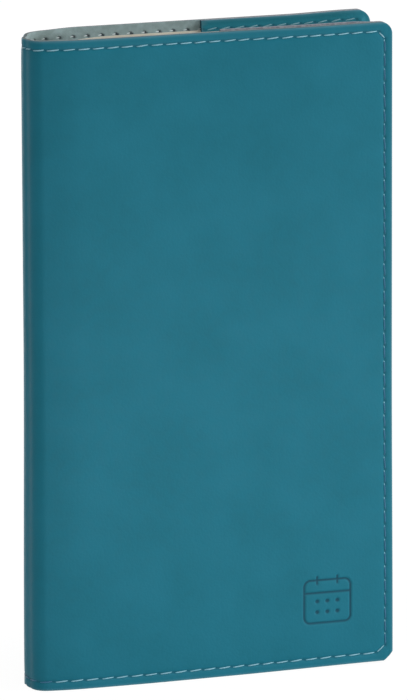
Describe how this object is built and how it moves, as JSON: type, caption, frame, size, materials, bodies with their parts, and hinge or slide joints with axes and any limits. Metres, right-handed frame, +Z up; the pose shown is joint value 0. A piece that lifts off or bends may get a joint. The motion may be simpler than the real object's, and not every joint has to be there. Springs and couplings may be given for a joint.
{
  "type": "pocket diary",
  "caption": "Slim pocket diary: a sewn paper refill with a card cover, tucked into a soft stitched jacket with inside pocket flaps; it opens flat at the middle.",
  "frame": {"origin": "under the middle of the closed diary, on the surface it stands on", "axes": "+Z up along the spine, -Y towards the front cover, -X towards the spine, +X to the fore edge"},
  "size_m": [0.095, 0.019, 0.166],
  "materials": {
    "skin": "fine-grained matt imitation leather, teal",
    "lining": "grey-green textile backing",
    "flap": "same imitation leather as the outside",
    "seam": "light blue sewing thread",
    "card": "cream card",
    "leaves": "off-white writing paper",
    "endpaper": "off-white paper",
    "gauze": "open-weave binding gauze",
    "sewing": "white linen thread"
  },
  "bodies": {
    "spine": {"spine_skin": "skin", "spine_lining": "lining", "spine_seam_bottom": "seam", "spine_seam_top": "seam", "spine_card": "card"},
    "front_cover": {"front_skin": "skin", "front_lining": "lining", "front_pocket_flap": "flap", "front_seam": "seam", "front_card": "card"},
    "back_cover": {"back_skin": "skin", "back_lining": "lining", "back_pocket_flap": "flap", "back_seam": "seam", "back_card": "card"},
    "middle_fold": {"middle_sewing_thread": "sewing"},
    "front_leaves": {"section_01": "leaves", "section_02": "leaves", "section_03": "leaves", "section_04": "leaves", "section_05": "leaves", "section_06": "leaves", "front_endpaper": "endpaper", "front_gauze": "gauze"},
    "back_leaves": {"section_07": "leaves", "section_08": "leaves", "section_09": "leaves", "section_10": "leaves", "section_11": "leaves", "section_12": "leaves", "back_endpaper": "endpaper", "back_gauze": "gauze"}
  },
  "joints": [
    {"name": "open_at_middle", "type": "slide", "parent": "spine", "child": "middle_fold", "axis": [1, 0, 0], "range_m": [0, 0.0082]},
    {"name": "front_cover_open", "type": "hinge", "parent": "spine", "child": "front_cover", "pos_m": [-0.04691, -0.00891, 0.083], "axis": [0, 0, -1], "range_deg": [0, 90]},
    {"name": "back_cover_open", "type": "hinge", "parent": "spine", "child": "back_cover", "pos_m": [-0.04574, 0.00774, 0.083], "axis": [0, 0, 1], "range_deg": [0, 90]},
    {"name": "front_leaves_turn", "type": "hinge", "parent": "middle_fold", "child": "front_leaves", "pos_m": [-0.04378, 0, 0.083], "axis": [0, 0, -1], "range_deg": [0, 90]},
    {"name": "back_leaves_turn", "type": "hinge", "parent": "middle_fold", "child": "back_leaves", "pos_m": [-0.04378, 0, 0.083], "axis": [0, 0, 1], "range_deg": [0, 90]}
  ],
  "couplings": [
    {"joint": "front_cover_open", "follows": "open_at_middle", "rad_per_m": 191.56},
    {"joint": "back_cover_open", "follows": "open_at_middle", "rad_per_m": 191.56},
    {"joint": "front_leaves_turn", "follows": "open_at_middle", "rad_per_m": 191.56},
    {"joint": "back_leaves_turn", "follows": "open_at_middle", "rad_per_m": 191.56}
  ]
}
